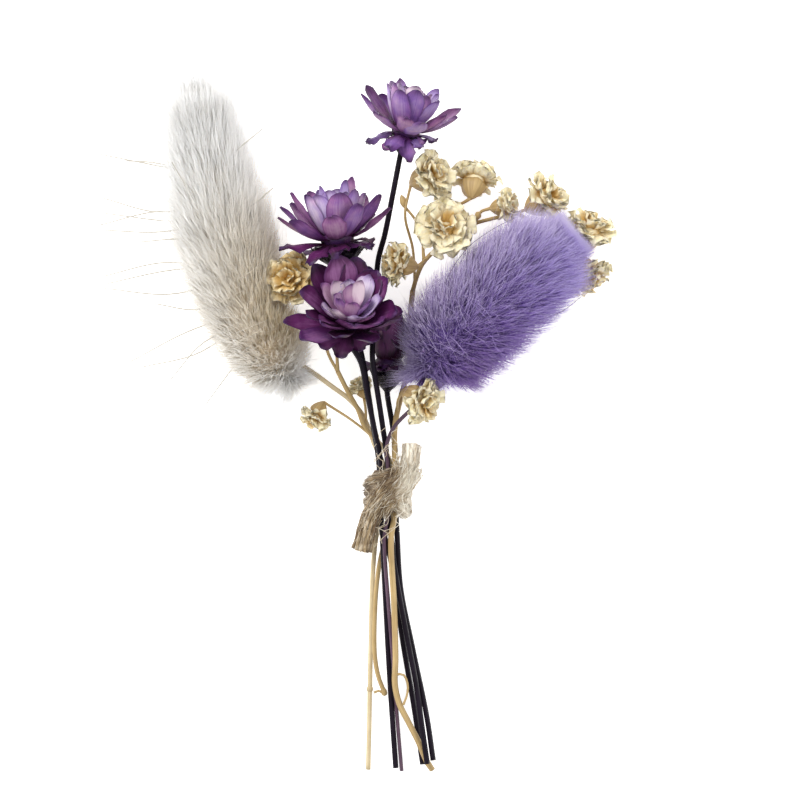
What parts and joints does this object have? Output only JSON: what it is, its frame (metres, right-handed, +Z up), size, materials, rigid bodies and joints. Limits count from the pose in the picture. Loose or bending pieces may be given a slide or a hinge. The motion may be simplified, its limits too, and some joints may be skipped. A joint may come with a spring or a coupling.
{
  "type": "tied bunch of dried flowers",
  "caption": "Small lying bunch of dried flowers: fluffy grass heads, purple papery daisies and cream florets on thin stems, tied with jute twine.",
  "frame": {"origin": "middle of the bounding box's underside, on the surface that the bunch lies on", "axes": "+Y along the stems towards the flower heads, +X to the right of the bunch seen from above, +Z up from the surface"},
  "size_m": [0.0924, 0.1261, 0.0279],
  "materials": {
    "white_fur": "soft cream white plant fur, silky and matt",
    "violet_fur": "soft violet dyed plant fur with paler tips",
    "outer_bract": "papery dyed bract, dark plum, satin",
    "inner_bract": "papery dyed bract, lilac to pale mauve, satin",
    "black_stem": "near-black dyed dry stem and calyx, slightly glossy",
    "tan_stem": "honey tan dry stem, satin",
    "pale_straw": "pale dry straw, satin",
    "purple_straw": "purple-brown dyed dry straw, satin",
    "cream_petal": "crumpled cream dried petal, matt",
    "jute": "fuzzy natural jute twine, matt"
  },
  "bodies": {
    "root": {"daisy_1_stem_and_calyx": "black_stem", "daisy_1_outer_bracts": "outer_bract", "daisy_1_inner_bracts": "inner_bract", "daisy_2_stem_and_calyx": "black_stem", "daisy_2_outer_bracts": "outer_bract", "daisy_2_inner_bracts": "inner_bract", "daisy_3_stem_and_calyx": "black_stem", "daisy_3_outer_bracts": "outer_bract", "daisy_3_inner_bracts": "inner_bract", "daisy_4_stem_and_calyx": "black_stem", "daisy_4_outer_bracts": "outer_bract", "daisy_4_inner_bracts": "inner_bract", "white_tail_head": "white_fur", "white_tail_straw": "pale_straw", "violet_tail_head": "violet_fur", "violet_tail_straw": "purple_straw", "right_spray_stems": "tan_stem", "left_spray_stems": "tan_stem", "floret_upper_left": "cream_petal", "floret_upper_middle": "cream_petal", "floret_front": "cream_petal", "floret_above_daisy": "cream_petal", "floret_small_right": "cream_petal", "floret_far_right": "cream_petal", "floret_behind_tail_upper": "cream_petal", "floret_behind_tail_lower": "cream_petal", "floret_left": "cream_petal", "floret_nodding": "cream_petal", "floret_lower_right": "cream_petal", "floret_behind_stems": "cream_petal", "twine_tie": "jute"}
  },
  "joints": []
}
